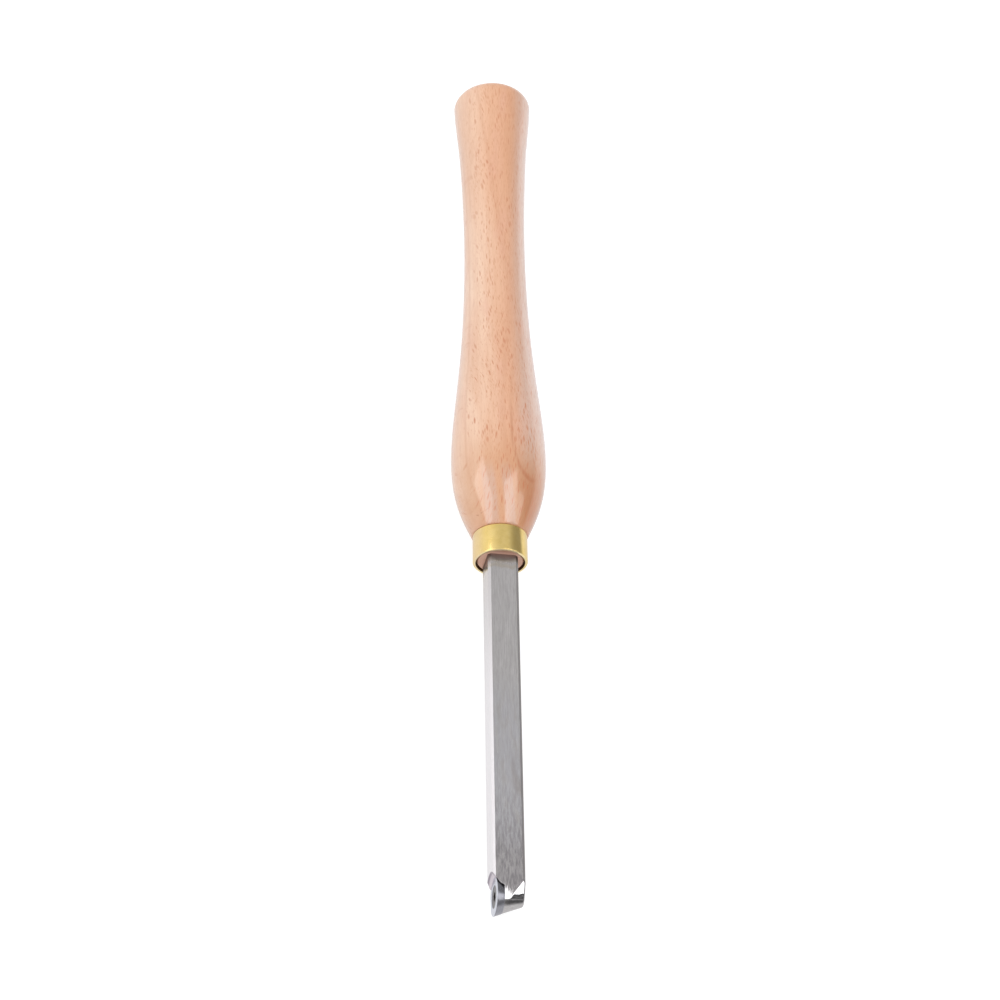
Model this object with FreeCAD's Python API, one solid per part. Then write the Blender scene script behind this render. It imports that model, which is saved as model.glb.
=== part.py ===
import FreeCAD, Part
import math
import os

from FreeCAD import Vector

# A hand tool for the wood lathe: a turned beech handle with a brass ferrule, a square steel bar
# and a round carbide cutter that is held in a pocket at the bar's tip by one countersunk screw.
# The tool lies on its side. X runs from the butt to the tip, Z is up and the cutter faces -Y.
# The pieces are made with the butt end at zero and the tool's axis on X, and placed at the end.

# Handle, turned from one billet.
handle_length = 233.0
butt_radius = 16.55
butt_face_radius = 15.0
butt_rounding_length = 3.5
neck_radius = 12.75
neck_place = 80.0
belly_radius = 18.93
belly_place = 187.0
shoulder_radius = 11.15
shoulder_edge_rounding = 0.35
tenon_chamfer_length = 1.0
tenon_chamfer_depth = 0.8
drill_point_angle = 118.0

# Stations of the handle's curve on its three stretches, butt to neck, neck to belly and belly to
# shoulder: the share of the stretch's length and the share of its change of radius.
butt_to_neck_shares = ((0.112, 0.159), (0.27, 0.452), (0.529, 0.77))
neck_to_belly_shares = ((0.283, 0.097), (0.532, 0.353), (0.782, 0.771))
belly_to_shoulder_shares = ((0.419, 0.15), (0.71, 0.483))

# Ferrule, a length of brass tube driven onto the handle's tenon.
ferrule_length = 11.8
ferrule_radius = 10.75
ferrule_wall = 1.2
tenon_recess = 0.6
ferrule_edge_chamfer = 0.3

# Shank, a square bar with broken corners, turned down to a round tang inside the handle.
bar_width = 12.0
bar_corner_chamfer = 1.0
tang_radius = 5.0
tang_length = 60.0
tang_end_chamfer = 1.0
glue_thickness = 0.25
glue_behind_tang = 2.0
cutter_reach = 138.5
seat_height = 1.8

# Pocket in the bar's tip, and the nose under the cutter.
pocket_floor_radius = 6.45
pocket_foot_height = 1.7
pocket_foot_angle = 13.0
pocket_flare_angle = 39.5
nose_radius = 5.96
nose_relief_angle = 20.0
nose_side_angle = 65.0
nose_edge_chamfer = 0.4
tapped_hole_chamfer = 0.3

# Cutter, a round disc with a relieved side and a countersunk hole.
cutter_radius = 7.0
cutter_thickness = 2.8
cutter_relief_angle = 20.0
cutter_edge_land = 0.15
cutter_back_chamfer = 0.15
cutter_hole_clearance = 0.25
countersink_half_angle = 45.0

# Screw, countersunk, with a six-lobe socket.
screw_radius = 2.0
screw_length = 8.0
screw_head_radius = 3.95
screw_head_sink = 0.15
screw_head_edge = 0.1
screw_end_chamfer = 0.4
screw_head_clearance = 0.05
thread_clearance = 0.05
thread_pitch = 0.7
thread_depth = 0.42
thread_root_width = 0.12
thread_flank_angle = 30.0
thread_cut_overrun = 0.05
socket_lobe_reach = 1.975
socket_waist_reach = 1.425
socket_lobe_radius = 0.305
socket_depth = 1.7
socket_lobes = 6

# How far a cutting solid runs past the faces that it cuts.
overrun = 2.0

# Worked out from the sizes above.
bar_half = bar_width / 2
tenon_radius = ferrule_radius - ferrule_wall
shoulder_place = handle_length - ferrule_length
tenon_end = handle_length - tenon_recess
bore_radius = tang_radius + glue_thickness
bore_depth = tang_length + glue_behind_tang
cutter_place = handle_length + cutter_reach
overall_length = cutter_place + cutter_radius
pocket_depth = bar_half - seat_height
nose_height = bar_half + seat_height
tapped_hole_radius = screw_radius + thread_clearance


def tan_of(degrees):
    return math.tan(math.radians(degrees))


def polygon(points):
    edges = [Part.makeLine(a, b) for a, b in zip(points, points[1:] + points[:1])]
    return Part.Wire(edges)


def turned(wire, axis):
    """A full turn of a closed outline about an axis through zero."""
    return Part.Face(wire).revolve(Vector(0, 0, 0), axis, 360)


def turned_on_x(places):
    """A piece turned about X, from (place along X, radius) pairs."""
    return turned(polygon([Vector(x, r, 0) for x, r in places]), Vector(1, 0, 0))


def turned_on_z(places):
    """A piece turned about Z, from (radius, height) pairs."""
    return turned(polygon([Vector(r, 0, z) for r, z in places]), Vector(0, 0, 1))


def on_the_seat(solid):
    """Moves a piece that was made with the seat at zero and the cutter facing +Z to the bar's tip."""
    solid.rotate(Vector(0, 0, 0), Vector(1, 0, 0), 90)
    solid.translate(Vector(cutter_place, -seat_height, 0))
    return solid


def stations(start, end, shares):
    """Points between two points, at the given shares of the distance along and across."""
    return [
        Vector(start.x + (end.x - start.x) * along, start.y + (end.y - start.y) * across, 0)
        for along, across in shares
    ]


def butt_rounding():
    """The rounded edge of the butt: an arc that leaves the butt face and ends parallel to the axis."""
    rise = butt_radius - butt_face_radius
    radius = (butt_rounding_length**2 + rise**2) / (2 * rise)
    half_turn = math.asin(butt_rounding_length / radius) / 2
    start = Vector(0, butt_face_radius, 0)
    middle = Vector(
        butt_rounding_length - radius * math.sin(half_turn),
        butt_radius - radius * (1 - math.cos(half_turn)),
        0,
    )
    end = Vector(butt_rounding_length, butt_radius, 0)
    return Part.Arc(start, middle, end).toShape()


def grip_curve():
    """The long curve of the handle, from the butt through the neck and the belly to the shoulder."""
    butt = Vector(butt_rounding_length, butt_radius, 0)
    neck = Vector(neck_place, neck_radius, 0)
    belly = Vector(belly_place, belly_radius, 0)
    shoulder = Vector(shoulder_place - shoulder_edge_rounding, shoulder_radius, 0)
    points = [butt] + stations(butt, neck, butt_to_neck_shares)
    points += [neck] + stations(neck, belly, neck_to_belly_shares)
    points += [belly] + stations(belly, shoulder, belly_to_shoulder_shares)
    points += [shoulder]
    curve = Part.BSplineCurve()
    curve.interpolate(points)
    return curve.toShape()


def handle():
    """The beech handle, with the tenon for the ferrule and the drilled hole for the tang."""
    drill_point = bore_radius / tan_of(drill_point_angle / 2)
    chamfer_start = tenon_end - tenon_chamfer_length
    bore_end = tenon_end - bore_depth
    places = [
        (shoulder_place - shoulder_edge_rounding, shoulder_radius),
        (shoulder_place, shoulder_radius - shoulder_edge_rounding),
        (shoulder_place, tenon_radius),
        (chamfer_start, tenon_radius),
        (tenon_end, tenon_radius - tenon_chamfer_depth),
        (tenon_end, bore_radius),
        (bore_end, bore_radius),
        (bore_end - drill_point, 0),
        (0, 0),
        (0, butt_face_radius),
    ]
    corners = [Vector(x, r, 0) for x, r in places]
    lines = [Part.makeLine(a, b) for a, b in zip(corners, corners[1:])]
    return turned(Part.Wire(lines + [butt_rounding(), grip_curve()]), Vector(1, 0, 0))


def ferrule():
    """The brass ring, with its front and back outer edges broken."""
    edge = ferrule_edge_chamfer
    places = [
        (shoulder_place, tenon_radius),
        (shoulder_place, ferrule_radius - edge),
        (shoulder_place + edge, ferrule_radius),
        (handle_length - edge, ferrule_radius),
        (handle_length, ferrule_radius - edge),
        (handle_length, tenon_radius),
    ]
    return turned_on_x(places)


def square_bar():
    """The bar from the tenon's end to past the nose, with its four long corners broken."""
    flat = bar_half - bar_corner_chamfer
    quarter = [(bar_half, -flat), (bar_half, flat)]
    outline = []
    for turn in range(4):
        c, s = round(math.cos(turn * math.pi / 2)), round(math.sin(turn * math.pi / 2))
        outline += [Vector(tenon_end, c * y - s * z, s * y + c * z) for y, z in quarter]
    length = tenon_recess + cutter_reach + nose_radius + overrun
    return Part.Face(polygon(outline)).extrude(Vector(length, 0, 0))


def tang():
    """The round end of the bar inside the handle."""
    end = tenon_end - tang_length
    places = [
        (end, 0),
        (end, tang_radius - tang_end_chamfer),
        (end + tang_end_chamfer, tang_radius),
        (tenon_end, tang_radius),
        (tenon_end, 0),
    ]
    return turned_on_x(places)


def pocket():
    """The space milled out for the cutter: a round wall behind it that opens out above its foot."""
    top = pocket_depth + overrun
    foot_radius = pocket_floor_radius + pocket_foot_height * tan_of(pocket_foot_angle)
    flare = (top - pocket_foot_height) * tan_of(pocket_flare_angle)
    wall = turned_on_z([
        (0, 0),
        (pocket_floor_radius, 0),
        (foot_radius, pocket_foot_height),
        (foot_radius + flare, top),
        (0, top),
    ])
    reach = pocket_floor_radius + overrun
    front = Part.makeBox(reach, 2 * reach, top, Vector(0, -reach, 0))
    return on_the_seat(wall.fuse(front))


def nose_outline(radius, height, back):
    """The nose's outline at a height below the seat: a round front whose sides run back along tangents."""
    angle = math.radians(nose_side_angle)
    side = bar_half + overrun
    touch_x = radius * math.cos(angle)
    touch_y = radius * math.sin(angle)
    side_x = touch_x - (side - touch_y) * tan_of(nose_side_angle)
    arc = Part.Arc(
        Vector(touch_x, -touch_y, height),
        Vector(radius, 0, height),
        Vector(touch_x, touch_y, height),
    )
    corners = [
        Vector(touch_x, touch_y, height),
        Vector(side_x, side, height),
        Vector(back, side, height),
        Vector(back, -side, height),
        Vector(side_x, -side, height),
        Vector(touch_x, -touch_y, height),
    ]
    return Part.Wire([arc.toShape()] + [Part.makeLine(a, b) for a, b in zip(corners, corners[1:])])


def nose_waste():
    """What is ground away under the cutter, to leave a relieved round nose with a broken lower edge."""
    slope = tan_of(nose_relief_angle)
    edge_height = nose_height - nose_edge_chamfer
    edge_radius = nose_radius - edge_height * slope
    side = bar_half + overrun
    start = -(side + overrun) * tan_of(nose_side_angle)
    back = start - overrun
    past = 2 * nose_edge_chamfer
    sections = [
        nose_outline(nose_radius + overrun * slope, overrun, back),
        nose_outline(edge_radius, -edge_height, back),
        nose_outline(edge_radius - past, -(edge_height + past), back),
    ]
    kept = Part.makeLoft(sections, True, True)
    wide = 2 * side - overrun
    tall = nose_height + past / 4 + overrun / 2
    corner = Vector(start, -wide / 2, -(nose_height + past / 4))
    block = Part.makeBox(nose_radius + 2 * overrun - start, wide, tall, corner)
    return on_the_seat(block.cut(kept))


def tapped_hole():
    """The screw's hole through the nose, drawn at the thread's outer size, with its mouths broken."""
    wide = tapped_hole_radius + tapped_hole_chamfer + overrun
    places = [
        (0, overrun),
        (wide, overrun),
        (tapped_hole_radius, -tapped_hole_chamfer),
        (tapped_hole_radius, tapped_hole_chamfer - nose_height),
        (wide, -(nose_height + overrun)),
        (0, -(nose_height + overrun)),
    ]
    return on_the_seat(turned_on_z(places))


def shank():
    """The steel bar in one piece with its tang, its pocket, its nose and its tapped hole."""
    body = square_bar().fuse(tang()).removeSplitter()
    for waste in (pocket(), nose_waste(), tapped_hole()):
        body = body.cut(waste)
    return body


def tang_glue():
    """The set glue that fills the drilled hole around and behind the tang."""
    drill_point = bore_radius / tan_of(drill_point_angle / 2)
    bore_end = tenon_end - bore_depth
    tang_end = tenon_end - tang_length
    places = [
        (bore_end - drill_point, 0),
        (bore_end, bore_radius),
        (tenon_end, bore_radius),
        (tenon_end, tang_radius),
        (tang_end + tang_end_chamfer, tang_radius),
        (tang_end, tang_radius - tang_end_chamfer),
        (tang_end, 0),
    ]
    return turned_on_x(places)


def cutter():
    """The round carbide cutter, lying on the seat."""
    slope = tan_of(cutter_relief_angle)
    land = cutter_thickness - cutter_edge_land
    low_radius = cutter_radius - land * slope
    hole = screw_radius + cutter_hole_clearance
    sink = tan_of(countersink_half_angle)
    head_depth = screw_head_sink + screw_head_edge
    mouth = screw_head_radius + screw_head_clearance + head_depth * sink
    throat = cutter_thickness - (mouth - hole) / sink
    places = [
        (hole, 0),
        (low_radius - cutter_back_chamfer, 0),
        (low_radius + cutter_back_chamfer * slope, cutter_back_chamfer),
        (cutter_radius, land),
        (cutter_radius, cutter_thickness),
        (mouth, cutter_thickness),
        (hole, throat),
    ]
    return on_the_seat(turned_on_z(places))


def socket():
    """The six-lobe socket: round lobes joined by tangent hollows."""
    step = math.pi / socket_lobes
    lobe_out = socket_lobe_reach - socket_lobe_radius
    spread = lobe_out * math.cos(step)
    hollow_radius = (
        lobe_out**2 + socket_waist_reach**2 - 2 * spread * socket_waist_reach - socket_lobe_radius**2
    ) / (2 * (socket_lobe_radius - socket_waist_reach + spread))
    hollow_out = socket_waist_reach + hollow_radius
    meet_share = socket_lobe_radius / (socket_lobe_radius + hollow_radius)

    def at(distance, angle):
        return Vector(distance * math.cos(angle), distance * math.sin(angle), 0)

    def meeting(lobe_angle, hollow_angle):
        lobe, hollow = at(lobe_out, lobe_angle), at(hollow_out, hollow_angle)
        return lobe + (hollow - lobe) * meet_share

    edges = []
    for lobe in range(socket_lobes):
        angle = 2 * lobe * step
        before = meeting(angle, angle - step)
        after = meeting(angle, angle + step)
        following = meeting(angle + 2 * step, angle + step)
        edges.append(Part.Arc(before, at(socket_lobe_reach, angle), after).toShape())
        edges.append(Part.Arc(after, at(socket_waist_reach, angle + step), following).toShape())
    face = Part.Face(Part.Wire(edges))
    return face.extrude(Vector(0, 0, socket_depth + overrun))


def thread_groove(low, high):
    """The helical groove between the threads, from one height to another."""
    lean = tan_of(thread_flank_angle)
    inner = screw_radius - thread_depth
    outer = screw_radius + thread_cut_overrun
    half_root = thread_root_width / 2
    half_mouth = half_root + (outer - inner) * lean
    outline = polygon([
        Vector(inner, 0, low - half_root),
        Vector(outer, 0, low - half_mouth),
        Vector(outer, 0, low + half_mouth),
        Vector(inner, 0, low + half_root),
    ])
    helix = Part.makeHelix(thread_pitch, high - low, screw_radius)
    helix.translate(Vector(0, 0, low))
    return Part.Wire(helix.Edges).makePipeShell([outline], True, True)


def cutter_screw():
    """The countersunk screw, with its head just below the cutter's face."""
    top = cutter_thickness - screw_head_sink
    end = top - screw_length
    sink = tan_of(countersink_half_angle)
    head_foot = top - screw_head_edge - (screw_head_radius - screw_radius) / sink
    places = [
        (0, end),
        (screw_radius - screw_end_chamfer, end),
        (screw_radius, end + screw_end_chamfer),
        (screw_radius, head_foot),
        (screw_head_radius, top - screw_head_edge),
        (screw_head_radius - screw_head_edge, top),
        (0, top),
    ]
    body = turned_on_z(places)
    drive = socket()
    drive.translate(Vector(0, 0, top - socket_depth))
    groove = thread_groove(end - thread_pitch, head_foot - thread_pitch)
    return on_the_seat(body.cut(drive).cut(groove))


pieces = {
    "handle": handle(),
    "ferrule": ferrule(),
    "shank": shank(),
    "tang_glue": tang_glue(),
    "cutter": cutter(),
    "cutter_screw": cutter_screw(),
}

# The origin is under the middle of the tool's length, where the belly of the handle touches the bench.
os.makedirs("parts", exist_ok=True)
for name, piece in pieces.items():
    piece.translate(Vector(-overall_length / 2, 0, belly_radius))
    piece.exportStep(f"parts/{name}.step")
    print(name, len(piece.Solids), piece.isValid(), round(piece.Volume, 2))
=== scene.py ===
import math

import bmesh
import bpy
import numpy as np
from mathutils import Matrix, Vector


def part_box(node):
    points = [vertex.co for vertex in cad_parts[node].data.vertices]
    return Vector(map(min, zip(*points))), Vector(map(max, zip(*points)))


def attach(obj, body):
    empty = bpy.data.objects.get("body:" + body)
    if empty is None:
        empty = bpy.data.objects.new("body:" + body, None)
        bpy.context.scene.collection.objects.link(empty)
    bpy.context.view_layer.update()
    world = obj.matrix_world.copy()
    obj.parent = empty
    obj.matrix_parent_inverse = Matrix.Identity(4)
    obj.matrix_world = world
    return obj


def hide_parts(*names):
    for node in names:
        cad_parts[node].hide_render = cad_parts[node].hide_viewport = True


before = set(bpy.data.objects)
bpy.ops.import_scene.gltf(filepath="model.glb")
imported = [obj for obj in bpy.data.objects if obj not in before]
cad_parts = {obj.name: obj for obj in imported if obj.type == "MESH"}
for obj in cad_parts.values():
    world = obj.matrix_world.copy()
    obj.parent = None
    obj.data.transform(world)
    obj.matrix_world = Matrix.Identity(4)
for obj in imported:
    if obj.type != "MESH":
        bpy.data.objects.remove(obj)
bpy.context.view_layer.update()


# The handle: one billet of beech, turned between centres, sanded and dipped in clear lacquer.
# Its front end is a tenon for the ferrule, with a drilled hole for the bar's tang.
# The curve of the grip runs through listed stations: place from the butt and radius.
handle_low, handle_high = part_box("handle")
ferrule_low, ferrule_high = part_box("ferrule")
glue_low, glue_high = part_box("tang_glue")
axis_height = (handle_low.z + handle_high.z) / 2
butt = handle_low.x
shoulder = ferrule_low.x
tenon_end = handle_high.x
belly_radius = (handle_high.z - handle_low.z) / 2
bore_radius = (glue_high.z - glue_low.z) / 2
tenon_radius = 0.00955
butt_face_radius = 0.015
butt_rounding = 0.0035
butt_rounding_steps = 8
shoulder_rounding = 0.00035
tenon_chamfer = (0.001, 0.0008)
drill_half_angle = math.radians(59)
drill_point = bore_radius / math.tan(drill_half_angle)
handle_easing = 0.0002
ring_spacing = 0.001
lathe_facets = 160
weld_distance = 1e-7
belly_station = 0.187
inside_box = 0.000005
grip_stations = [
    (0.0035, 0.01655), (0.01207, 0.01595), (0.02416, 0.01483), (0.04397, 0.01362),
    (0.08, 0.01275), (0.11028, 0.01335), (0.13692, 0.01493), (0.16367, 0.01751),
    (belly_station, belly_radius - inside_box), (0.20119, 0.01776), (0.21104, 0.01517), (0.22085, 0.01115),
]

# The billet's grain, in millimetres: where the tree's heart lay, how wide its rings are and how
# much they lean, one dark ring, the three kinds of ray (length, width, seed, share without a
# ray and strength), and two marks from handling, each from one point to another.
axis_mm = axis_height * 1000
heart_y, heart_z, heart_depth = -45.0, axis_mm - 66.0, 80.0
ring_width = 2.6
ring_lean = 0.045
dark_ring_depth = 97.0
rays = ((5.4, 0.66, 0.0, 0.63, 0.74), (4.0, 0.42, 57.0, 0.58, 0.5), (2.6, 0.3, 23.0, 0.5, 0.34))
handling_marks = (((27.5, -11.0, 26.3), (27.8, -9.8, 27.0)), ((27.4, -9.2, 27.9), (26.3, -6.6, 30.4)))


def spline(stations, places):
    """Radii of the smooth natural curve through the stations, at the given places."""
    x, y = (np.array(column, float) for column in zip(*stations))
    h = np.diff(x)
    slope = np.diff(y) / h
    size = len(x)
    system, right = np.eye(size), np.zeros(size)
    for i in range(1, size - 1):
        system[i, i - 1 : i + 2] = h[i - 1], 2 * (h[i - 1] + h[i]), h[i]
        right[i] = 6 * (slope[i] - slope[i - 1])
    bend = np.linalg.solve(system, right)
    k = np.clip(np.searchsorted(x, places) - 1, 0, size - 2)
    a, b = places - x[k], x[k + 1] - places
    cubic = (bend[k] * b**3 + bend[k + 1] * a**3) / (6 * h[k])
    return cubic + (y[k] / h[k] - bend[k] * h[k] / 6) * b + (y[k + 1] / h[k] - bend[k + 1] * h[k] / 6) * a


def eased(outline, radius, steps=3, least_turn=0.3, most_of_side=0.4):
    """The outline with each real corner rounded off by a short curve."""
    points = [Vector(p) for p in outline]
    made = [points[0]]
    for before, corner, after in zip(points, points[1:], points[2:]):
        into, out = corner - before, after - corner
        turn = into.angle(out) if into.length and out.length else 0
        if turn < least_turn:
            made.append(corner)
            continue
        back = min(radius * math.tan(turn / 2), most_of_side * into.length, most_of_side * out.length)
        first, last = corner - into.normalized() * back, corner + out.normalized() * back
        for step in range(steps + 1):
            s = step / steps
            made.append(first * (1 - s) ** 2 + corner * 2 * s * (1 - s) + last * s**2)
    return [tuple(p) for p in made + [points[-1]]]


class Wire:
    """One output of a node. Arithmetic on it adds Math nodes."""

    def __init__(self, nodes, socket):
        self.nodes, self.socket = nodes, socket

    def __add__(self, other):
        return self.nodes.maths("ADD", self, other)

    def __radd__(self, other):
        return self.nodes.maths("ADD", other, self)

    def __sub__(self, other):
        return self.nodes.maths("SUBTRACT", self, other)

    def __rsub__(self, other):
        return self.nodes.maths("SUBTRACT", other, self)

    def __mul__(self, other):
        return self.nodes.maths("MULTIPLY", self, other)

    def __rmul__(self, other):
        return self.nodes.maths("MULTIPLY", other, self)

    def __truediv__(self, other):
        return self.nodes.maths("DIVIDE", self, other)

    def __rtruediv__(self, other):
        return self.nodes.maths("DIVIDE", other, self)

    def __mod__(self, other):
        return self.nodes.maths("MODULO", self, other)

    def __rmod__(self, other):
        return self.nodes.maths("MODULO", other, self)

    def __pow__(self, other):
        return self.nodes.maths("POWER", self, other)

    def __rpow__(self, other):
        return self.nodes.maths("POWER", other, self)

    def __abs__(self):
        return self.nodes.maths("ABSOLUTE", self)

    def at_least(self, other):
        return self.nodes.maths("MAXIMUM", self, other)


class Nodes:
    """A node tree in the making. add() makes any node: its type, settings and sockets."""

    def __init__(self, tree):
        self.tree = tree

    def add(self, kind, settings=None, inputs=None):
        node = self.tree.nodes.new(kind)
        for key, value in (settings or {}).items():
            setattr(node, key, value)
        for key, value in (inputs or {}).items():
            if isinstance(value, Wire):
                self.tree.links.new(value.socket, node.inputs[key])
            else:
                node.inputs[key].default_value = value
        return node

    def out(self, node, output=0):
        return Wire(self, node.outputs[output])

    def made(self, kind, settings=None, inputs=None, output=0):
        """The wire from one output of a new node."""
        return self.out(self.add(kind, settings, inputs), output)

    def maths(self, operation, *values):
        return self.made("ShaderNodeMath", {"operation": operation}, dict(enumerate(values)))


class Finish(Nodes):
    """A material or world in the making."""

    def __init__(self, holder):
        holder.use_nodes = True
        holder.node_tree.nodes.clear()
        super().__init__(holder.node_tree)
        self.holder = holder

    def split(self, vector):
        node = self.add("ShaderNodeSeparateXYZ", None, {0: vector})
        return [self.out(node, axis) for axis in range(3)]

    def place(self):
        """Object coordinates in millimetres, as three wires."""
        return [part * 1000 for part in self.split(self.made("ShaderNodeTexCoord", output="Object"))]

    def facing(self):
        """The direction in which the surface faces, as three wires."""
        return self.split(self.made("ShaderNodeNewGeometry", output="Normal"))

    def vector(self, x, y, z):
        return self.made("ShaderNodeCombineXYZ", None, {0: x, 1: y, 2: z})

    def noise(self, x, y, z, detail=2.0, roughness=0.5):
        """Noise from 0 to 1 with features about one unit across."""
        sockets = {"Vector": self.vector(x, y, z), "Scale": 1.0, "Detail": detail, "Roughness": roughness}
        return self.made("ShaderNodeTexNoise", None, sockets)

    def ramped(self, value, low, high, to_low=0.0, to_high=1.0):
        """A smooth step of a value from one level to another."""
        sockets = {"Value": value, "From Min": low, "From Max": high, "To Min": to_low, "To Max": to_high}
        return self.made("ShaderNodeMapRange", {"interpolation_type": "SMOOTHSTEP"}, sockets)

    def band(self, value, middle, outer, inner):
        """One within the inner distance of a middle value, falling to nothing at the outer."""
        return self.ramped(abs(value - middle), outer, inner)

    def mixed(self, share, first, second, way="MIX"):
        """Two colours mixed by a share from 0 to 1."""
        settings = {"data_type": "RGBA", "blend_type": way}
        return self.made("ShaderNodeMix", settings, {0: share, 6: first, 7: second}, 2)

    def layered(self, tone, *layers):
        """A colour with others laid over it in turn, each by its share from 0 to 1."""
        for share, over in layers:
            tone = self.mixed(share, tone, over)
        return tone

    def bump(self, height, distance, strength=1.0):
        sockets = {"Height": height, "Distance": distance, "Strength": strength}
        return self.made("ShaderNodeBump", None, sockets)

    def surface(self, **sockets):
        """The finished surface. A socket's name is written with underscores for its spaces."""
        named = {key.replace("_", " "): value for key, value in sockets.items()}
        shader = self.made("ShaderNodeBsdfPrincipled", None, named)
        self.add("ShaderNodeOutputMaterial", None, {"Surface": shader})
        return self.holder


def lathe_tree():
    """Geometry nodes that turn an outline of (place, radius) points about X into a closed skin."""
    tree = bpy.data.node_groups.new("turned_on_the_lathe", "GeometryNodeTree")
    given = {"Outline": "Geometry", "Facets": "Int", "Weld": "Float", "Finish": "Material"}
    for name, kind in given.items():
        tree.interface.new_socket(name, in_out="INPUT", socket_type="NodeSocket" + kind)
    tree.interface.new_socket("Skin", in_out="OUTPUT", socket_type="NodeSocketGeometry")
    nodes = Nodes(tree)
    group_input = nodes.add("NodeGroupInput")
    outline, facets, weld, finish = (nodes.out(group_input, name) for name in given)
    columns = facets + 1.0
    size = {"Geometry": outline}
    rows = nodes.made("GeometryNodeAttributeDomainSize", {"component": "MESH"}, size, "Point Count")
    grid = nodes.made("GeometryNodeMeshGrid", None, {"Vertices X": rows, "Vertices Y": columns}, "Mesh")
    index = nodes.made("GeometryNodeInputIndex")
    row = nodes.maths("FLOOR", index / columns)
    angle = index % columns / facets * (2 * math.pi)
    sample = {"Geometry": outline, "Value": nodes.made("GeometryNodeInputPosition"), "Index": row}
    point = nodes.made("GeometryNodeSampleIndex", {"data_type": "FLOAT_VECTOR"}, sample)
    turn = {"Vector": point, "Angle": angle}
    place = nodes.made("ShaderNodeVectorRotate", {"rotation_type": "X_AXIS"}, turn)
    skin = nodes.made("GeometryNodeSetPosition", None, {"Geometry": grid, "Position": place})
    skin = nodes.made("GeometryNodeMergeByDistance", None, {"Geometry": skin, "Distance": weld})
    skin = nodes.made("GeometryNodeSetShadeSmooth", None, {"Geometry": skin})
    skin = nodes.made("GeometryNodeRealizeInstances", None, {"Geometry": skin})
    skin = nodes.made("GeometryNodeSetMaterial", None, {"Geometry": skin, "Material": finish})
    nodes.add("NodeGroupOutput", None, {"Skin": skin})
    return tree


def finished_mesh(piece, crease=math.radians(35)):
    """Turns every face of a piece's mesh outwards and keeps its real corners crisp."""
    work = bmesh.new()
    work.from_mesh(piece.data)
    bmesh.ops.remove_doubles(work, verts=work.verts, dist=weld_distance)
    bmesh.ops.recalc_face_normals(work, faces=work.faces)
    work.to_mesh(piece.data)
    work.free()
    piece.data.shade_smooth()
    piece.data.set_sharp_from_angle(angle=crease)


def new_piece(name, points, edges=(), faces=()):
    mesh = bpy.data.meshes.new(name)
    mesh.from_pydata(points, edges, faces)
    piece = bpy.data.objects.new(name, mesh)
    bpy.context.scene.collection.objects.link(piece)
    return piece


def apply_modifiers(piece):
    """Makes what a piece's modifiers show its own plain mesh."""
    shown = piece.evaluated_get(bpy.context.evaluated_depsgraph_get())
    made = bpy.data.meshes.new_from_object(shown)
    piece.modifiers.clear()
    piece.data = made


lathe = lathe_tree()


def turned(name, outline, facets, finish, place):
    """A turned piece: the lathe's nodes turn its outline, and the result becomes a plain mesh."""
    points = [(x, 0, r) for x, r in outline]
    piece = new_piece(name, points, [(i, i + 1) for i in range(len(points) - 1)])
    sockets = {s.name: s.identifier for s in lathe.interface.items_tree if s.in_out == "INPUT"}
    modifier = piece.modifiers.new("lathe", "NODES")
    modifier.node_group = lathe
    modifier[sockets["Facets"]] = facets
    modifier[sockets["Weld"]] = weld_distance
    modifier[sockets["Finish"]] = finish
    apply_modifiers(piece)
    piece.data.transform(place)
    finished_mesh(piece)
    return piece


def colour(red, green, blue):
    """A colour as a screen shows it, from 0 to 255, in the light values that shaders use."""
    parts = [c / 255 for c in (red, green, blue)]
    return tuple(p / 12.92 if p <= 0.04045 else ((p + 0.055) / 1.055) ** 2.4 for p in parts) + (1,)


def with_rays(wood, shade, x, y, around, flat_grain):
    """A shade with beech's short dark rays over it, strongest on the flat-sawn sides."""
    crowd = wood.noise(x / 30 + 9, around / 2.4, 0.0)
    wander = wood.noise(x / 40 + 3, around / 9, 0.0, detail=1.0)
    toward_tip = wood.ramped(x, -120.0, 0.0, 0.7, 1.05)
    shy = wood.ramped(y, -3.0, -11.0, 0.0, 0.22) * wood.ramped(x, -150.0, -100.0)
    for length, width, seed, empty, strength in rays:
        row = (around - x * 0.1 + wander * 5) / width
        spot = wood.vector(x / length + seed + row * 0.37, row, 0.0)
        settings = {"feature": "F1", "voronoi_dimensions": "2D"}
        cell = wood.add("ShaderNodeTexVoronoi", settings, {"Vector": spot, "Scale": 1.0, "Randomness": 0.9})
        chances = wood.add("ShaderNodeSeparateColor", None, {0: wood.out(cell, "Color")})
        present = wood.ramped(wood.out(chances) + (crowd - 0.5) * 0.8 - shy, empty, empty + 0.1)
        reach = present * (wood.out(chances, 1) * 0.14 + 0.2) + 0.001
        fleck = wood.ramped(wood.out(cell, "Distance") / reach, 1.2, 0.4)
        shade = wood.mixed(fleck * flat_grain * toward_tip * strength, shade, colour(204, 120, 74))
    return shade


def with_marks(wood, shade, place):
    """A shade with the marks from handling over it, each a short line from one point to another."""
    for start, end in handling_marks:
        line = [e - b for b, e in zip(start, end)]
        length = math.hypot(*line)
        away = [c - b for c, b in zip(place, start)]
        along = (away[0] * line[0] + away[1] * line[1] + away[2] * line[2]) / length
        off = (away[0] ** 2 + away[1] ** 2 + away[2] ** 2 - along**2) ** 0.5
        within = wood.ramped(along, -0.2, 0.2) * wood.ramped(along, length + 0.2, length - 0.2)
        shade = wood.mixed(wood.ramped(off, 0.4, 0.1) * within * 0.6, shade, colour(186, 116, 76))
    return shade


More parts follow.
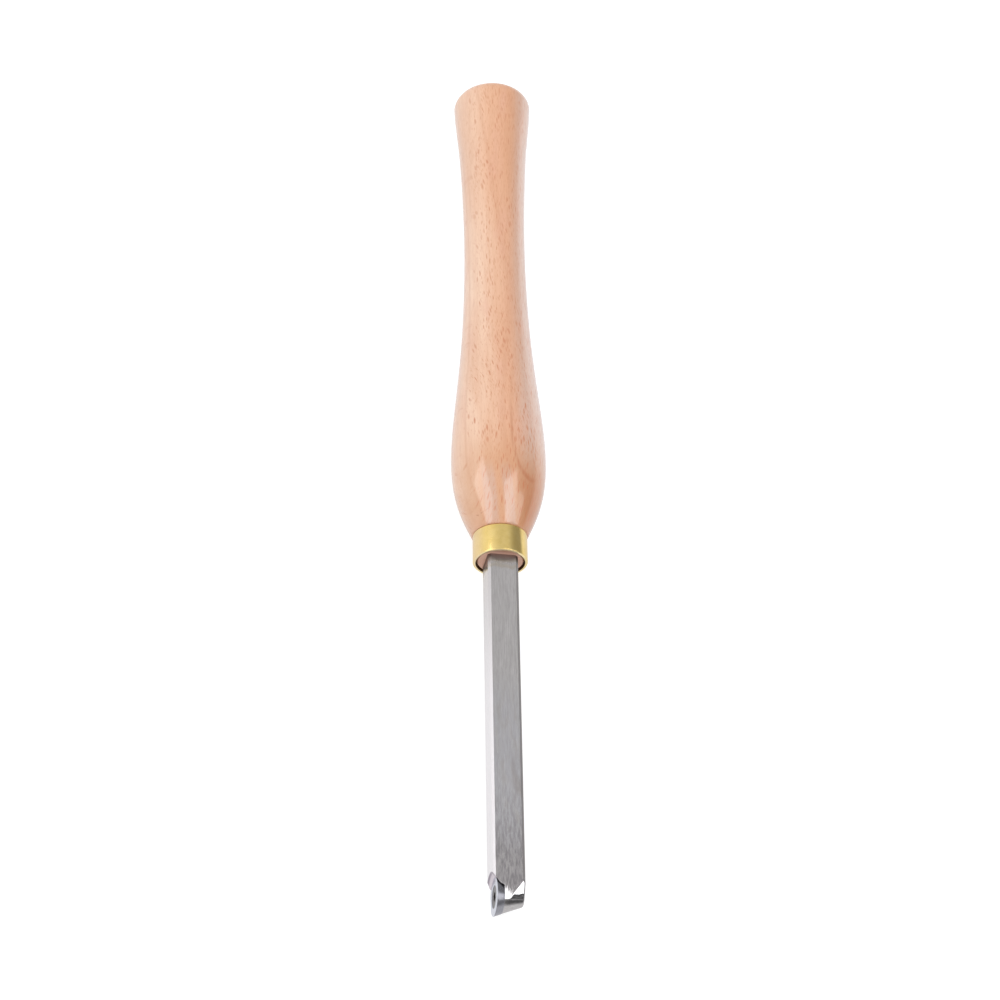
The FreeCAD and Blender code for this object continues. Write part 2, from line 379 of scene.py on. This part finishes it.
def end_wood(wood, y, z, around, depth, late, raw_end):
    """The shade of end grain: its pores and pale spokes, and raw wood on the tenon's face, with a painted
    shadow across its top under the ferrule's lip.
    """
    pores = wood.noise(0.0, y * 2.6, z * 2.6)
    spokes = wood.noise(0.0, around * 1.6, depth / 9, roughness=0.6)
    return wood.layered(
        wood.mixed(late * 0.6, colour(226, 172, 138), colour(194, 130, 94)),
        (wood.ramped(pores, 0.45, 0.7) * 0.35, colour(176, 118, 84)),
        (wood.ramped(spokes, 0.5, 0.66) * 0.5, colour(238, 196, 162)),
        (raw_end * 0.85, colour(252, 206, 186)),
        # Painted shadow: the top of the tenon's face darkened where the ferrule's lip shades it.
        (raw_end * wood.ramped(z - axis_mm, 5.0, 8.5) * 0.7, colour(150, 98, 78)),
    )


def beech():
    """Pale pink-brown beech: rays as dashes and flakes, faint rings, long streaks and clear lacquer."""
    wood = Finish(bpy.data.materials.new("beech"))
    x, y, z = wood.place()
    facing_x, facing_y, facing_z = wood.facing()

    # Where a spot lay in the tree: how far out from its heart, how far round it, and in which ring.
    drift = wood.noise(x / 90, y / 40, z / 40, detail=1.0)
    across = y - heart_y + (drift - 0.5) * 2
    up = z - heart_z
    depth = (across**2 + up**2) ** 0.5
    around = wood.maths("ARCTAN2", across, up) * heart_depth
    waver = wood.noise(x / 50, around / 14, depth / 14, detail=1.0)
    grown = depth - x * ring_lean + (waver - 0.5) * 1.5
    rings = grown / ring_width
    ring = wood.maths("FRACT", rings)
    late = wood.ramped(ring, 0.25, 0.96) * wood.ramped(ring, 1.0, 0.97)

    # The grain's variation, from whole rings and broad clouds down to single fibres.
    vigour = wood.noise(0.0, 0.0, rings, detail=0.0)
    fibre = wood.noise(x / 4, around * 3.5, depth * 3.5, detail=4.0, roughness=0.65)
    broad = wood.noise(x / 60, around / 5, depth / 16)
    pink = wood.noise(x / 26 + 40, around / 5, depth / 12)
    streak = wood.noise(x / 34, around * 1.3, depth / 1.6, detail=3.0, roughness=0.6)

    # Areas of this handle: the butt, the far side, and the slanting bands that cross the belly, two of them
    # pale pink bands painted where the lamps' highlights fall.
    toward_butt = wood.ramped(x, -90.0, -150.0) * wood.ramped(y, -16.0, -4.0) * wood.ramped(y, 10.0, 5.0)
    far_side = wood.ramped(y + x * 0.02, 0.0, 9.0)
    slant = y - x * 0.15
    pale_streak = wood.band(slant, -6.3, 4.2, 1.2) * 0.42 * wood.ramped(x, 6.0, 16.0)
    browned = wood.ramped(slant, -21.0, -16.5, 0.1, 0.56) + wood.ramped(slant, -15.0, -11.0, 0.0, 0.34)
    browned = wood.ramped(x, -14.0, 22.0) * (browned - pale_streak)
    heartwood = wood.ramped(slant, -1.0, 7.0, 0.0, 0.72) * wood.ramped(x, 0.0, 24.0)
    # Painted highlight: two pale pink bands along the belly where the lamps' highlights fall.
    painted_highlight_bands = wood.band(slant, -2.4, 2.9, 1.2) + wood.band(slant, -9.4, 3.2, 1.5)
    dark_ring = wood.band(grown, dark_ring_depth, 0.45, 0.05) * wood.ramped(x, -60.0, 0.0)
    dark_ring = dark_ring * wood.ramped(y, 13.0, 10.0) * wood.ramped(streak, 0.3, 0.6)
    # The base runs from pale cream on the -Y side, painted paler there for the light falling from that
    # side, to tan in the middle.
    shade = wood.layered(
        wood.mixed(wood.ramped(y + x * 0.04, -14.0, 4.0), colour(252, 214, 185), colour(231, 172, 134)),
        (toward_butt * 0.6, colour(230, 166, 122)),
        (far_side, colour(226, 194, 178)),
        (wood.ramped(broad, 0.35, 0.68) * (0.5 - far_side * 0.35), colour(229, 170, 130)),
        (wood.ramped(pink, 0.5, 0.75) * 0.4, colour(235, 178, 151)),
        (browned, colour(210, 149, 99)),
        (heartwood, colour(190, 116, 70)),
        (painted_highlight_bands * wood.ramped(x, 5.0, 16.0) * 0.42, colour(206, 178, 168)),
        (wood.ramped(streak, 0.42, 0.72) * 0.25, colour(220, 160, 122)),
        (late * wood.ramped(vigour, 0.4, 0.75) * 0.3, colour(208, 142, 102)),
        (wood.ramped(fibre, 0.4, 0.75) * 0.3, colour(206, 142, 104)),
        (dark_ring * wood.ramped(x, -20.0, 12.0, 0.4, 0.65), colour(190, 112, 66)),
    )

    flat_grain = abs((facing_y * across + facing_z * up) / depth)
    flat_grain = wood.ramped(flat_grain, 0.05, 0.5, 0.25, 1.0)
    shade = with_rays(wood, shade, x, y, around, flat_grain)
    shade = with_marks(wood, shade, (x, y, z))
    end_grain = wood.ramped(abs(facing_x), 0.75, 0.95)
    raw_end = end_grain * wood.ramped(x, 38.0, 40.0)
    shade = wood.mixed(end_grain * 0.92, shade, end_wood(wood, y, z, around, depth, late, raw_end))
    ripple = wood.noise(x / 25, y / 8, z / 8, detail=1.0)
    return wood.surface(
        Base_Color=shade,
        Roughness=wood.ramped(fibre, 0.3, 0.7, 0.3, 0.4) + raw_end * 0.5,
        Normal=wood.bump(ripple + fibre * 0.02, 0.0006, 0.3),
        IOR=1.5, Coat_Weight=0.85 - raw_end * 0.85, Coat_Roughness=0.12, Coat_IOR=1.7,
        Sheen_Weight=0.36, Sheen_Roughness=0.25, Sheen_Tint=(0.92, 0.88, 1.0, 1.0),
    )


along_x = Matrix.Translation((0, 0, axis_height))
rise = grip_stations[0][1] - butt_face_radius
rounding_radius = (butt_rounding**2 + rise**2) / (2 * rise)
rounding_turn = math.asin(butt_rounding / rounding_radius)
handle_outline = [(butt, 0.0)]
for step in range(butt_rounding_steps + 1):
    a = rounding_turn * (1 - step / butt_rounding_steps)
    handle_outline.append((
        butt + butt_rounding - rounding_radius * math.sin(a),
        grip_stations[0][1] - rounding_radius * (1 - math.cos(a)),
    ))
grip_end = grip_stations[-1][0]
grip_places = np.linspace(butt_rounding, grip_end, round((grip_end - butt_rounding) / ring_spacing))[1:]
handle_outline += [(butt + p, r) for p, r in zip(grip_places, spline(grip_stations, grip_places))]
handle_outline += [
    (shoulder, handle_outline[-1][1] - shoulder_rounding),
    (shoulder, tenon_radius),
    (tenon_end - tenon_chamfer[0], tenon_radius),
    (tenon_end, tenon_radius - tenon_chamfer[1]),
    (tenon_end, bore_radius),
    (glue_low.x + drill_point, bore_radius),
    (glue_low.x, 0.0),
]
handle = turned("beech_handle", eased(handle_outline, handle_easing), lathe_facets, beech(), along_x)
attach(handle, "tool")
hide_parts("handle")


# The ferrule: a short length of drawn brass tube, faced off, polished on the lathe
# and driven onto the tenon, so that the handle doesn't split around the tang.
ferrule_radius = (ferrule_high.z - ferrule_low.z) / 2
ferrule_edge = 0.0003
ferrule_easing = 0.0003


def brass():
    """Polished brass with fine lines around it from the lathe, with painted highlight on its ends and -Y
    edge, and painted shade on its +Y side and inside the tube.
    """
    metal = Finish(bpy.data.materials.new("turned_brass"))
    x, y, z = metal.place()
    facing_x, facing_y, facing_z = metal.facing()
    lines = metal.noise(x * 16, y / 9, z / 9, detail=3.0, roughness=0.7)
    haze = metal.noise(x / 3, y / 3, z / 3, detail=4.0)
    inside = metal.ramped(facing_y * y + facing_z * (z - axis_mm), -2.0, -6.0)
    tone = metal.layered(
        metal.mixed(metal.ramped(haze, 0.3, 0.7), colour(241, 213, 140), colour(235, 205, 128)),
        (metal.ramped(lines, 0.45, 0.8) * 0.25, colour(212, 183, 112)),
        # Painted highlight: the faced-off ends paler, as a bright rim.
        (metal.ramped(facing_x, 0.5, 0.9) * 0.7, colour(248, 232, 190)),
        # Painted shade: darker on the side towards +Y, dimming a reflection there.
        (metal.ramped(y, 7.5, 9.5) * 0.4, colour(204, 182, 124)),
        # Painted reflection: the edge towards -Y paler and less yellow, for the white it mirrors.
        (metal.ramped(y, -7.0, -10.0) * 0.45, colour(226, 202, 172)),
        # Painted shade: the inside of the tube near black, for the shaded gap around the tenon.
        (inside * 0.92, colour(70, 42, 18)),
    )
    rough = metal.ramped(haze, 0.3, 0.7, 0.17, 0.22) + inside * 0.3
    return metal.surface(Base_Color=tone, Metallic=1.0, Roughness=rough, Normal=metal.bump(lines, 0.000004))


ferrule_outline = [
    (ferrule_low.x, tenon_radius),
    (ferrule_low.x, ferrule_radius - ferrule_edge),
    (ferrule_low.x + ferrule_edge, ferrule_radius),
    (ferrule_high.x - ferrule_edge, ferrule_radius),
    (ferrule_high.x, ferrule_radius - ferrule_edge),
    (ferrule_high.x, tenon_radius),
    (ferrule_low.x, tenon_radius),
]
ferrule = turned("brass_ferrule", eased(ferrule_outline, ferrule_easing), lathe_facets, brass(), along_x)
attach(ferrule, "tool")
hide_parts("ferrule")


# The shank: a bar of ground square steel with its corners broken, milled out at the tip for the
# cutter, relieved below it on a grinder and tapped. It is the frame's own solid with eased edges.
cutter_low, cutter_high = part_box("cutter")
cutter_place = (cutter_low.x + cutter_high.x) / 2
seat = cutter_high.y
shank_edge = 0.00012
shank_weld = 1e-6
least_edge_turn = math.radians(24)
flat_turn = math.radians(0.5)
shank_crease = math.radians(60)


def ground_steel():
    """Steel ground along the bar, and by hand around the nose, where the bar's side rolls over. Painted
    highlight, reflection and shade on its nose, its -Y side and its corners.
    """
    metal = Finish(bpy.data.materials.new("ground_steel"))
    x, y, z = metal.place()
    facing_x, facing_y, facing_z = metal.facing()
    past_cutter = x - cutter_place * 1000
    low = y - seat * 1000

    # The marks on the metal, from lengthwise streaks and scratches to the grinder's own on the nose.
    streaks = metal.noise(x / 9, y * 2.6, z * 2.6, detail=4.0, roughness=0.7)
    scratches = metal.noise(x / 2.4, y * 9, z * 9, detail=3.0, roughness=0.7)
    smudge = metal.noise(x / 7, y / 2.2, z / 2.2, detail=3.0)
    grain = metal.noise(x / 5, y * 1.2, z * 1.2, detail=4.0, roughness=0.7)
    ground = metal.noise(x * 3, y / 2.5, z * 3, detail=4.0, roughness=0.7)
    facets = metal.noise(x * 1.3, y * 0.9, z * 1.3, detail=4.0, roughness=0.6)

    # Areas of the bar: the broad sides, the nose with its facet and dark brow, where the side rolls
    # over into it, the pocket's wall, and the broken corners of the bar's back. The facet and the rolled
    # edge get painted highlights, the brow and the corners painted dark reflections, the wall painted
    # shade.
    on_side = metal.ramped(abs(facing_z), 0.97, 0.995)
    on_front = metal.ramped(abs(facing_y), 0.97, 0.995)
    at_nose = metal.ramped(past_cutter, -6.0, -5.0) * (1 - on_side)
    facet = metal.ramped(facing_z, 0.82, 0.845) * at_nose
    blend = past_cutter - low * 0.65 + 0.3 + (streaks - 0.5) * 6 + (scratches - 0.5) * 4
    edge = past_cutter + (low - 3.6) * 1.32
    flush = facet * metal.ramped(edge, 0.12, -0.12) * metal.ramped(blend, 1.6, 0.9)
    facet = facet * (1 - flush)
    nose = at_nose * (1 - on_front) * (1 - flush)
    face = (on_side * metal.ramped(past_cutter, -5.0, -4.0)).at_least(flush)
    roll = metal.ramped(blend, -2.6, 1.0) * metal.ramped(edge, 0.5, -0.9)
    rolled = roll * face
    brink = metal.ramped(low, 1.2, 3.9, 2.8, 0.6) - (low - 3.5).at_least(0.0) * 0.26
    beyond = past_cutter - brink + (facets - 0.5) * 0.9
    painted_brow = nose * (1 - facet) * metal.ramped(facing_z, 0.45, 0.78) * metal.ramped(low, 0.0, 2.5, 0.5, 0.85)
    wall = metal.ramped(past_cutter, -3.0, -3.5) * metal.ramped(facing_x, 0.3, 0.5)
    under = metal.ramped(facing_y, 0.4, 0.6) * metal.ramped(abs(facing_z), 0.4, 0.6) * (1 - nose)

    # What use has left along the bar: cooler metal, a thumb mark, wear towards the tip, and brown
    # staining near the handle, darkened further as painted shade where the bar runs into the ferrule.
    cool = metal.ramped(past_cutter, -92.0, -66.0) * metal.ramped(past_cutter, -10.0, -24.0)
    thumbed = metal.band(past_cutter, -45.0, 12.0, 5.0) * metal.ramped(low, 2.6, 4.4)
    thumbed = thumbed * metal.ramped(smudge, 0.3, 0.6)
    worn = metal.ramped(streaks + scratches * 0.5, 0.6, 0.85, 0.35, 1.0)
    worn = worn * metal.ramped(past_cutter, -38.0, -5.0)
    rubbed = metal.ramped(grain, 0.42, 0.62) * metal.ramped(past_cutter, -48.0, -5.0, 0.12, 0.85)
    painted_bright_side = metal.ramped(facing_y, -0.4, -0.6)
    stain_and_shade = metal.ramped(past_cutter + smudge * 3 - painted_bright_side, -132.5, -137.0)
    stain_and_shade_tone = metal.mixed(painted_bright_side, colour(153, 138, 134), colour(118, 94, 82))
    tone = metal.layered(
        metal.mixed(metal.ramped(streaks, 0.3, 0.72), colour(187, 184, 183), colour(199, 196, 196)),
        (metal.ramped(scratches, 0.5, 0.8) * 0.3, colour(160, 157, 158)),
        (metal.ramped(smudge, 0.47, 0.78) * 0.34, colour(166, 162, 162)),
        (cool * metal.ramped(smudge, 0.8, 0.4) * 0.5, colour(184, 184, 191)),
        (thumbed * 0.3, colour(146, 136, 135)),
        (worn * (0.6 - nose * 0.4), colour(146, 142, 145)),
        (rubbed * (1 - nose * 0.7), colour(138, 134, 137)),
        # Painted reflection: the side towards -Y nearly white, as the white table mirrors in it, and greyer
        # towards the handle.
        (painted_bright_side * 0.85, colour(244, 240, 243)),
        (painted_bright_side * metal.ramped(past_cutter, -70.0, -134.0), colour(206, 202, 203)),
        # Brown staining, and painted shade where the bar meets the ferrule.
        (stain_and_shade * 0.8, stain_and_shade_tone),
        (metal.band(past_cutter + smudge * 3, -132.5, 1.4, 0.2) * 0.35, colour(176, 160, 132)),
        (metal.ramped(ground, 0.4, 0.65) * nose * 0.4, colour(162, 160, 162)),
        # Painted highlight: the facet on the nose nearly white.
        (facet * 0.9, colour(240, 240, 242)),
        # Painted dark reflection: the facet's lower part and the brow above the nose's front, dark grey.
        (facet * metal.ramped(beyond, -0.1, 0.2) * 0.92, colour(86, 84, 86)),
        (painted_brow, colour(96, 94, 96)),
        # Painted dark reflection: the broken corners along the +Y side darker grey.
        (under * 0.85, colour(120, 116, 116)),
        # Painted shade: the pocket's wall pale purple-grey, darker at its outline.
        (wall * 0.8, colour(206, 196, 204)),
        (wall * metal.ramped(y, -5.1, -5.6) * 0.7, colour(132, 124, 136)),
        # Painted highlight: where the side rolls over into the nose it is nearly white.
        (rolled * 0.85, colour(244, 243, 244)),
    )

    # By the cutter the broad side is smooth and tips over towards the nose. Everywhere else the
    # marks show as relief.
    rough = metal.ramped(streaks, 0.3, 0.7, 0.19, 0.25) - nose * 0.08 + stain_and_shade * 0.2 + rolled * 0.24
    height = (facets * 0.07 + ground * 0.01) * nose * (1 - facet * 0.85)
    height = height - beyond.at_least(0.0) * facet * 0.16
    height = height + (scratches + streaks * 2) * 0.0025 * (1 - nose)
    turned_over = metal.vector(roll * 0.2, roll * 0.08, 1.0)
    to_world = {"vector_type": "NORMAL", "convert_from": "OBJECT", "convert_to": "WORLD"}
    turned_over = metal.made("ShaderNodeVectorTransform", to_world, {0: turned_over})
    ways = {0: face, 4: metal.bump(height, 0.001), 5: turned_over}
    normal = metal.made("ShaderNodeMix", {"data_type": "VECTOR"}, ways, 1)
    return metal.surface(Base_Color=tone, Metallic=1.0, Roughness=rough, Normal=normal)


shank = new_piece("steel_shank", [])
shank.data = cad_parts["shank"].data.copy()
shank.data.name = "steel_shank"
work = bmesh.new()
work.from_mesh(shank.data)
bmesh.ops.remove_doubles(work, verts=work.verts, dist=shank_weld)
bmesh.ops.dissolve_limit(work, angle_limit=flat_turn, verts=work.verts, edges=work.edges)
work.to_mesh(shank.data)
work.free()
easing = shank.modifiers.new("eased_edges", "BEVEL")
easing.width = shank_edge
easing.segments = 2
easing.limit_method = "ANGLE"
easing.angle_limit = least_edge_turn
easing.use_clamp_overlap = True
easing.loop_slide = True
apply_modifiers(shank)
shank.data.materials.clear()
shank.data.materials.append(ground_steel())
finished_mesh(shank, shank_crease)
flats = shank.modifiers.new("flat_faces", "WEIGHTED_NORMAL")
flats.keep_sharp = True
flats.weight = 100
apply_modifiers(shank)
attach(shank, "tool")
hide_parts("shank")


# The glue: epoxy that was pressed into the drilled hole and set around the tang. It is sealed
# inside the handle and keeps the frame's own solid.
def set_epoxy():
    """Amber epoxy, a little cloudy."""
    resin = Finish(bpy.data.materials.new("set_epoxy"))
    x, y, z = resin.place()
    cloud = resin.noise(x / 2, y / 2, z / 2, detail=3.0)
    tone = resin.mixed(resin.ramped(cloud, 0.4, 0.7), colour(214, 196, 150), colour(196, 172, 120))
    return resin.surface(Base_Color=tone, Roughness=resin.ramped(cloud, 0.3, 0.7, 0.3, 0.5))


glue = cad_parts["tang_glue"]
glue.data.materials.clear()
glue.data.materials.append(set_epoxy())


# The cutter: a round disc of sintered tungsten carbide with a ground side that slopes in below
# its edge, a lapped face and a countersunk hole. It sits in the pocket at the bar's tip.
cutter_radius = (cutter_high.x - cutter_low.x) / 2
cutter_thickness = cutter_high.y - cutter_low.y
cutter_relief = math.tan(math.radians(20))
cutter_land = 0.00015
cutter_hole = 0.00225
cutter_easing = 0.00006
cutter_facets = 128
countersink_mouth = 0.00425
on_seat = Matrix.Translation((cutter_place, seat, axis_height)) @ Matrix.Rotation(math.radians(-90), 4, "Z")


def carbide():
    """Ground carbide: pale cold grey, with fine lines around the side and a lapped face, and painted shade
    in the countersink and where the side meets the pocket.
    """
    metal = Finish(bpy.data.materials.new("ground_carbide"))
    x, y, z = metal.place()
    facing_y = metal.facing()[1]
    lines = metal.noise(x / 4, y * 18, z / 4, detail=3.0, roughness=0.7)
    grain = metal.noise(x * 3, y * 3, z * 3, detail=4.0, roughness=0.7)
    side = metal.ramped(abs(facing_y), 0.8, 0.5)
    sideways, above = x - cutter_place * 1000, z - axis_mm
    painted_countersink_shade = metal.ramped((sideways**2 + above**2) ** 0.5, 4.35, 4.2)
    from_pocket = sideways - (y - seat * 1000) * 0.97 + 2.3
    tone = metal.layered(
        metal.mixed(metal.ramped(grain, 0.35, 0.7), colour(206, 209, 221), colour(196, 199, 211)),
        (side * 0.85, colour(134, 133, 139)),
        # Painted shade: the countersink darker around the screw's head.
        (painted_countersink_shade * 0.7, colour(92, 92, 98)),
        # Painted shadow: the side darkened near black where it runs into the pocket.
        (side * metal.ramped(from_pocket, 2.0, 1.1) * 0.9, colour(44, 44, 48)),
    )
    rough = metal.ramped(grain, 0.3, 0.7, 0.14, 0.2) + side * 0.08
    return metal.surface(Base_Color=tone, Metallic=1.0, Roughness=rough, Normal=metal.bump(lines, 0.000003))


cutter_low_radius = cutter_radius - (cutter_thickness - cutter_land) * cutter_relief
cutter_outline = [
    (0.0, cutter_hole),
    (0.0, cutter_low_radius),
    (cutter_thickness - cutter_land, cutter_radius),
    (cutter_thickness, cutter_radius),
    (cutter_thickness, countersink_mouth),
    (cutter_thickness - (countersink_mouth - cutter_hole), cutter_hole),
    (0.0, cutter_hole),
]
cutter = turned("carbide_cutter", eased(cutter_outline, cutter_easing), cutter_facets, carbide(), on_seat)
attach(cutter, "cutter")
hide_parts("cutter")


# The screw: an M4 countersunk screw, cold headed with a six-lobe socket and rolled thread,
# blackened and oiled, with its head just below the cutter's face.
screw_low, screw_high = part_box("cutter_screw")
screw_top = seat - screw_low.y
screw_end = seat - screw_high.y
head_radius = (screw_high.x - screw_low.x) / 2
head_edge = 0.0001
thread_radius = 0.002
thread_pitch = 0.0007
thread_depth = 0.00042
thread_flank = 0.44
thread_root = 1.2
thread_end_chamfer = 0.0004
thread_top = screw_top - head_edge - (head_radius - thread_radius)
runout_start, runout_length = 0.0003, 0.0005
rings_per_turn = 12
screw_facets = 96
lobes = 6
lobe_fullness = 1.5
lobe_reach, waist_reach = 0.001975, 0.001425
socket_depth = 0.0017
socket_rim, socket_rim_depth = 0.0001, 0.00006
socket_point, socket_point_depth = 0.0002, 0.0003


def lobed(angle):
    """The six-lobe socket's radius at an angle."""
    swell = (0.5 + 0.5 * math.cos(lobes * angle)) ** lobe_fullness
    return waist_reach + (lobe_reach - waist_reach) * swell


def threaded(height, angle):
    """The thread's radius: flat crests, and between them a V that climbs one pitch a turn. The V
    reaches thread_flank of a pitch to each side, has a flat root and runs out under the head."""
    phase = (height / thread_pitch - angle / (2 * math.pi)) % 1.0
    valley = max(0.0, 1.0 - abs(phase - 0.5) / thread_flank)
    fade = min(1.0, max(0.0, (thread_top - runout_start - height) / runout_length))
    full = thread_radius - thread_depth * min(1.0, valley * thread_root) * fade
    return min(full, thread_radius - thread_end_chamfer + (height - screw_end))


def circle(height, radius):
    """A ring of the screw: a height and a radius for each angle."""
    angles = [i * 2 * math.pi / screw_facets for i in range(screw_facets)]
    return [(height, radius(a) * math.cos(a), radius(a) * math.sin(a)) for a in angles]


def ringed(name, rings, finish, place):
    """A skin over rings of equal counts, each a list of points, closed at both ends."""
    points = [point for ring in rings for point in ring]
    count = len(rings[0])
    faces = []
    for row in range(len(rings) - 1):
        for i in range(count):
            j = (i + 1) % count
            faces.append((row * count + i, row * count + j, (row + 1) * count + j, (row + 1) * count + i))
    faces.append(tuple(range(count)))
    faces.append(tuple(range(len(points) - count, len(points))))
    piece = new_piece(name, points, (), faces)
    piece.data.materials.append(finish)
    piece.data.transform(place)
    finished_mesh(piece)
    return piece


def dark_steel():
    """Blackened and oiled steel, worn paler in patches."""
    metal = Finish(bpy.data.materials.new("blackened_steel"))
    x, y, z = metal.place()
    wear = metal.noise(x * 1.5, y * 1.5, z * 1.5, detail=4.0, roughness=0.7)
    tone = metal.mixed(metal.ramped(wear, 0.4, 0.7), colour(96, 92, 94), colour(132, 128, 130))
    rough = metal.ramped(wear, 0.3, 0.7, 0.28, 0.4)
    return metal.surface(Base_Color=tone, Metallic=1.0, Roughness=rough, Normal=metal.bump(wear, 0.000004))


screw_rings = [circle(screw_end, lambda a: thread_radius - thread_end_chamfer - thread_depth / 2)]
steps = round((thread_top - screw_end) / (thread_pitch / rings_per_turn))
for step in range(steps):
    height = screw_end + (thread_top - screw_end) * step / steps
    screw_rings.append(circle(height, lambda a: threaded(height, a)))
screw_rings += [
    circle(thread_top, lambda a: thread_radius),
    circle(screw_top - head_edge, lambda a: head_radius),
    circle(screw_top, lambda a: head_radius - head_edge),
    circle(screw_top, lambda a: lobed(a) + socket_rim),
    circle(screw_top - socket_rim_depth, lobed),
    circle(screw_top - socket_depth, lobed),
    circle(screw_top - socket_depth - socket_point_depth, lambda a: socket_point),
]
screw = ringed("countersunk_screw", screw_rings, dark_steel(), on_seat)
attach(screw, "cutter_screw")
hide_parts("cutter_screw")


# The studio: a white table on which the tool rests on its belly and the underside of its tip,
# a pale room, and three long soft boxes overhead. The camera looks down on the tool's side.
view_tilt = math.radians(31.7)
view_turn = math.radians(11.7)
view_roll = math.radians(1.09)
view_distance = 0.93455
view_lens = 85.14
view_aim = Vector((0.014873, 0, axis_height))
view_shift = 0.00034


def aimed(direction, up):
    """A turn that points an object's -Z along a direction, with its top towards another."""
    back = -direction.normalized()
    right = up.cross(back).normalized()
    return Matrix((right, back.cross(right), back)).transposed().to_4x4()


out_of_side = Vector((0, -math.sin(view_turn), math.cos(view_turn)))
to_camera = Vector((1, 0, 0)) * math.sin(view_tilt) + out_of_side * math.cos(view_tilt)
image_right = Vector((0, math.cos(view_turn), math.sin(view_turn)))
image_down = image_right.cross(to_camera)
image_right = image_right * math.cos(view_roll) + image_down * math.sin(view_roll)
camera_data = bpy.data.cameras.new("camera")
camera_data.lens = view_lens
camera_data.sensor_width = 36
camera_data.clip_start, camera_data.clip_end = 0.05, 20
camera = bpy.data.objects.new("camera", camera_data)
bpy.context.scene.collection.objects.link(camera)
camera_place = view_aim + to_camera * view_distance + image_right * view_shift
camera.matrix_world = Matrix.Translation(camera_place) @ aimed(-to_camera, to_camera.cross(image_right))
bpy.context.scene.camera = camera

belly_place = butt + belly_station
tip_low, tip_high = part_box("shank")
floor_slope = math.atan2(tip_low.z, tip_high.x - belly_place)
floor_half = 1.5
floor_gap = 0.00001
paper_lit, paper_shaded = 0.8, 0.36
paper_glow, paper_mirrored = 0.82, 0.65


def grey(level):
    return (level, level, level, 1)


def white_floor():
    """White paper. Seen, mirrored or looked through it is white, and greys where the tool shades it."""
    paper = Finish(bpy.data.materials.new("white_floor"))
    light_path = paper.add("ShaderNodeLightPath")
    mirrored = paper.out(light_path, "Is Glossy Ray")
    seen = paper.out(light_path, "Is Camera Ray").at_least(mirrored)
    seen = seen.at_least(paper.out(light_path, "Is Transmission Ray"))
    level = mirrored * (paper_mirrored - paper_glow) + paper_glow
    matte = paper.made("ShaderNodeBsdfDiffuse", None, {"Color": grey(paper_lit)})
    glow = paper.made("ShaderNodeEmission", None, {"Color": grey(1), "Strength": level})
    shaded = paper.made("ShaderNodeBsdfDiffuse", None, {"Color": grey(paper_shaded)})
    both = paper.made("ShaderNodeAddShader", None, {0: glow, 1: shaded})
    mix = paper.made("ShaderNodeMixShader", None, {0: seen, 1: matte, 2: both})
    paper.add("ShaderNodeOutputMaterial", None, {"Surface": mix})
    return paper.holder


corners = [(-1, -1), (1, -1), (1, 1), (-1, 1)]
floor = new_piece("floor", [(x * floor_half, y * floor_half, 0) for x, y in corners], (), [(0, 1, 2, 3)])
floor.data.materials.append(white_floor())
belly_centre = Vector((belly_place, 0, axis_height))
floor_normal = Vector((-math.sin(floor_slope), 0, math.cos(floor_slope)))
floor_place = belly_centre - floor_normal * (belly_radius + floor_gap)
floor.data.transform(Matrix.Translation(floor_place) @ Matrix.Rotation(-floor_slope, 4, "Y"))

room_level = 0.84


def pale_room():
    """A pale room, mirrored white on the left, with a darker wall on the right. The camera sees white."""
    room = Finish(bpy.data.worlds.new("pale_room"))
    right, up = room.split(room.made("ShaderNodeTexCoord", output="Generated"))[1:]
    plain = room.mixed(room.ramped(up, -0.1, 0.6), grey(0.62), grey(0.82))
    plain = room.mixed(room.ramped(right, -0.6, 0.7), plain, grey(0.9), "MULTIPLY")
    above = room.mixed(room.ramped(right, -0.75, -0.1), grey(1), grey(0.74))
    wall = room.ramped(right, 0.25, 0.75) * room.ramped(up, 0.02, 0.06)
    mirror = room.mixed(wall, above, grey(0.36))
    light_path = room.add("ShaderNodeLightPath")
    mirrored = room.out(light_path, "Is Glossy Ray").at_least(room.out(light_path, "Is Transmission Ray"))
    by_camera = room.out(light_path, "Is Camera Ray")
    lit = room.made("ShaderNodeBackground", None, {"Color": plain, "Strength": room_level})
    seen = room.made("ShaderNodeBackground", None, {"Color": mirror, "Strength": 1.0})
    white = room.made("ShaderNodeBackground", None, {"Color": grey(1), "Strength": 1.0})
    mix = room.made("ShaderNodeMixShader", None, {0: mirrored, 1: lit, 2: seen})
    mix = room.made("ShaderNodeMixShader", None, {0: by_camera, 1: mix, 2: white})
    room.add("ShaderNodeOutputWorld", None, {"Surface": mix})
    return room.holder


bpy.context.scene.world = pale_room()
lamp_distance = 2.0
lamp_target = Vector((0.04, 0, axis_height))


def soft_box(name, start, end, width, level):
    """A long soft box overhead: the directions of its two ends, its width and its brightness."""
    start, end = Vector(start).normalized() * lamp_distance, Vector(end).normalized() * lamp_distance
    data = bpy.data.lights.new(name, "AREA")
    data.shape = "RECTANGLE"
    data.size, data.size_y = width, (end - start).length
    data.energy = level * math.pi * data.size * data.size_y
    lamp = bpy.data.objects.new(name, data)
    bpy.context.scene.collection.objects.link(lamp)
    middle = (start + end) / 2
    lamp.matrix_world = Matrix.Translation(lamp_target + middle) @ aimed(-middle, end - start)
    lamp.visible_camera = False


soft_box("left_box", (-0.28, -0.80, 0.42), (0.30, -0.62, 0.69), 1.08, 2.0)
soft_box("right_box", (-0.16, 0.265, 0.91), (0.30, 0.445, 0.85), 1.2, 2.2)
soft_box("right_card", (0.22, 0.86, 0.45), (0.22, 0.64, 0.72), 1.08, 1.7)
bpy.context.scene.view_settings.view_transform = "Standard"
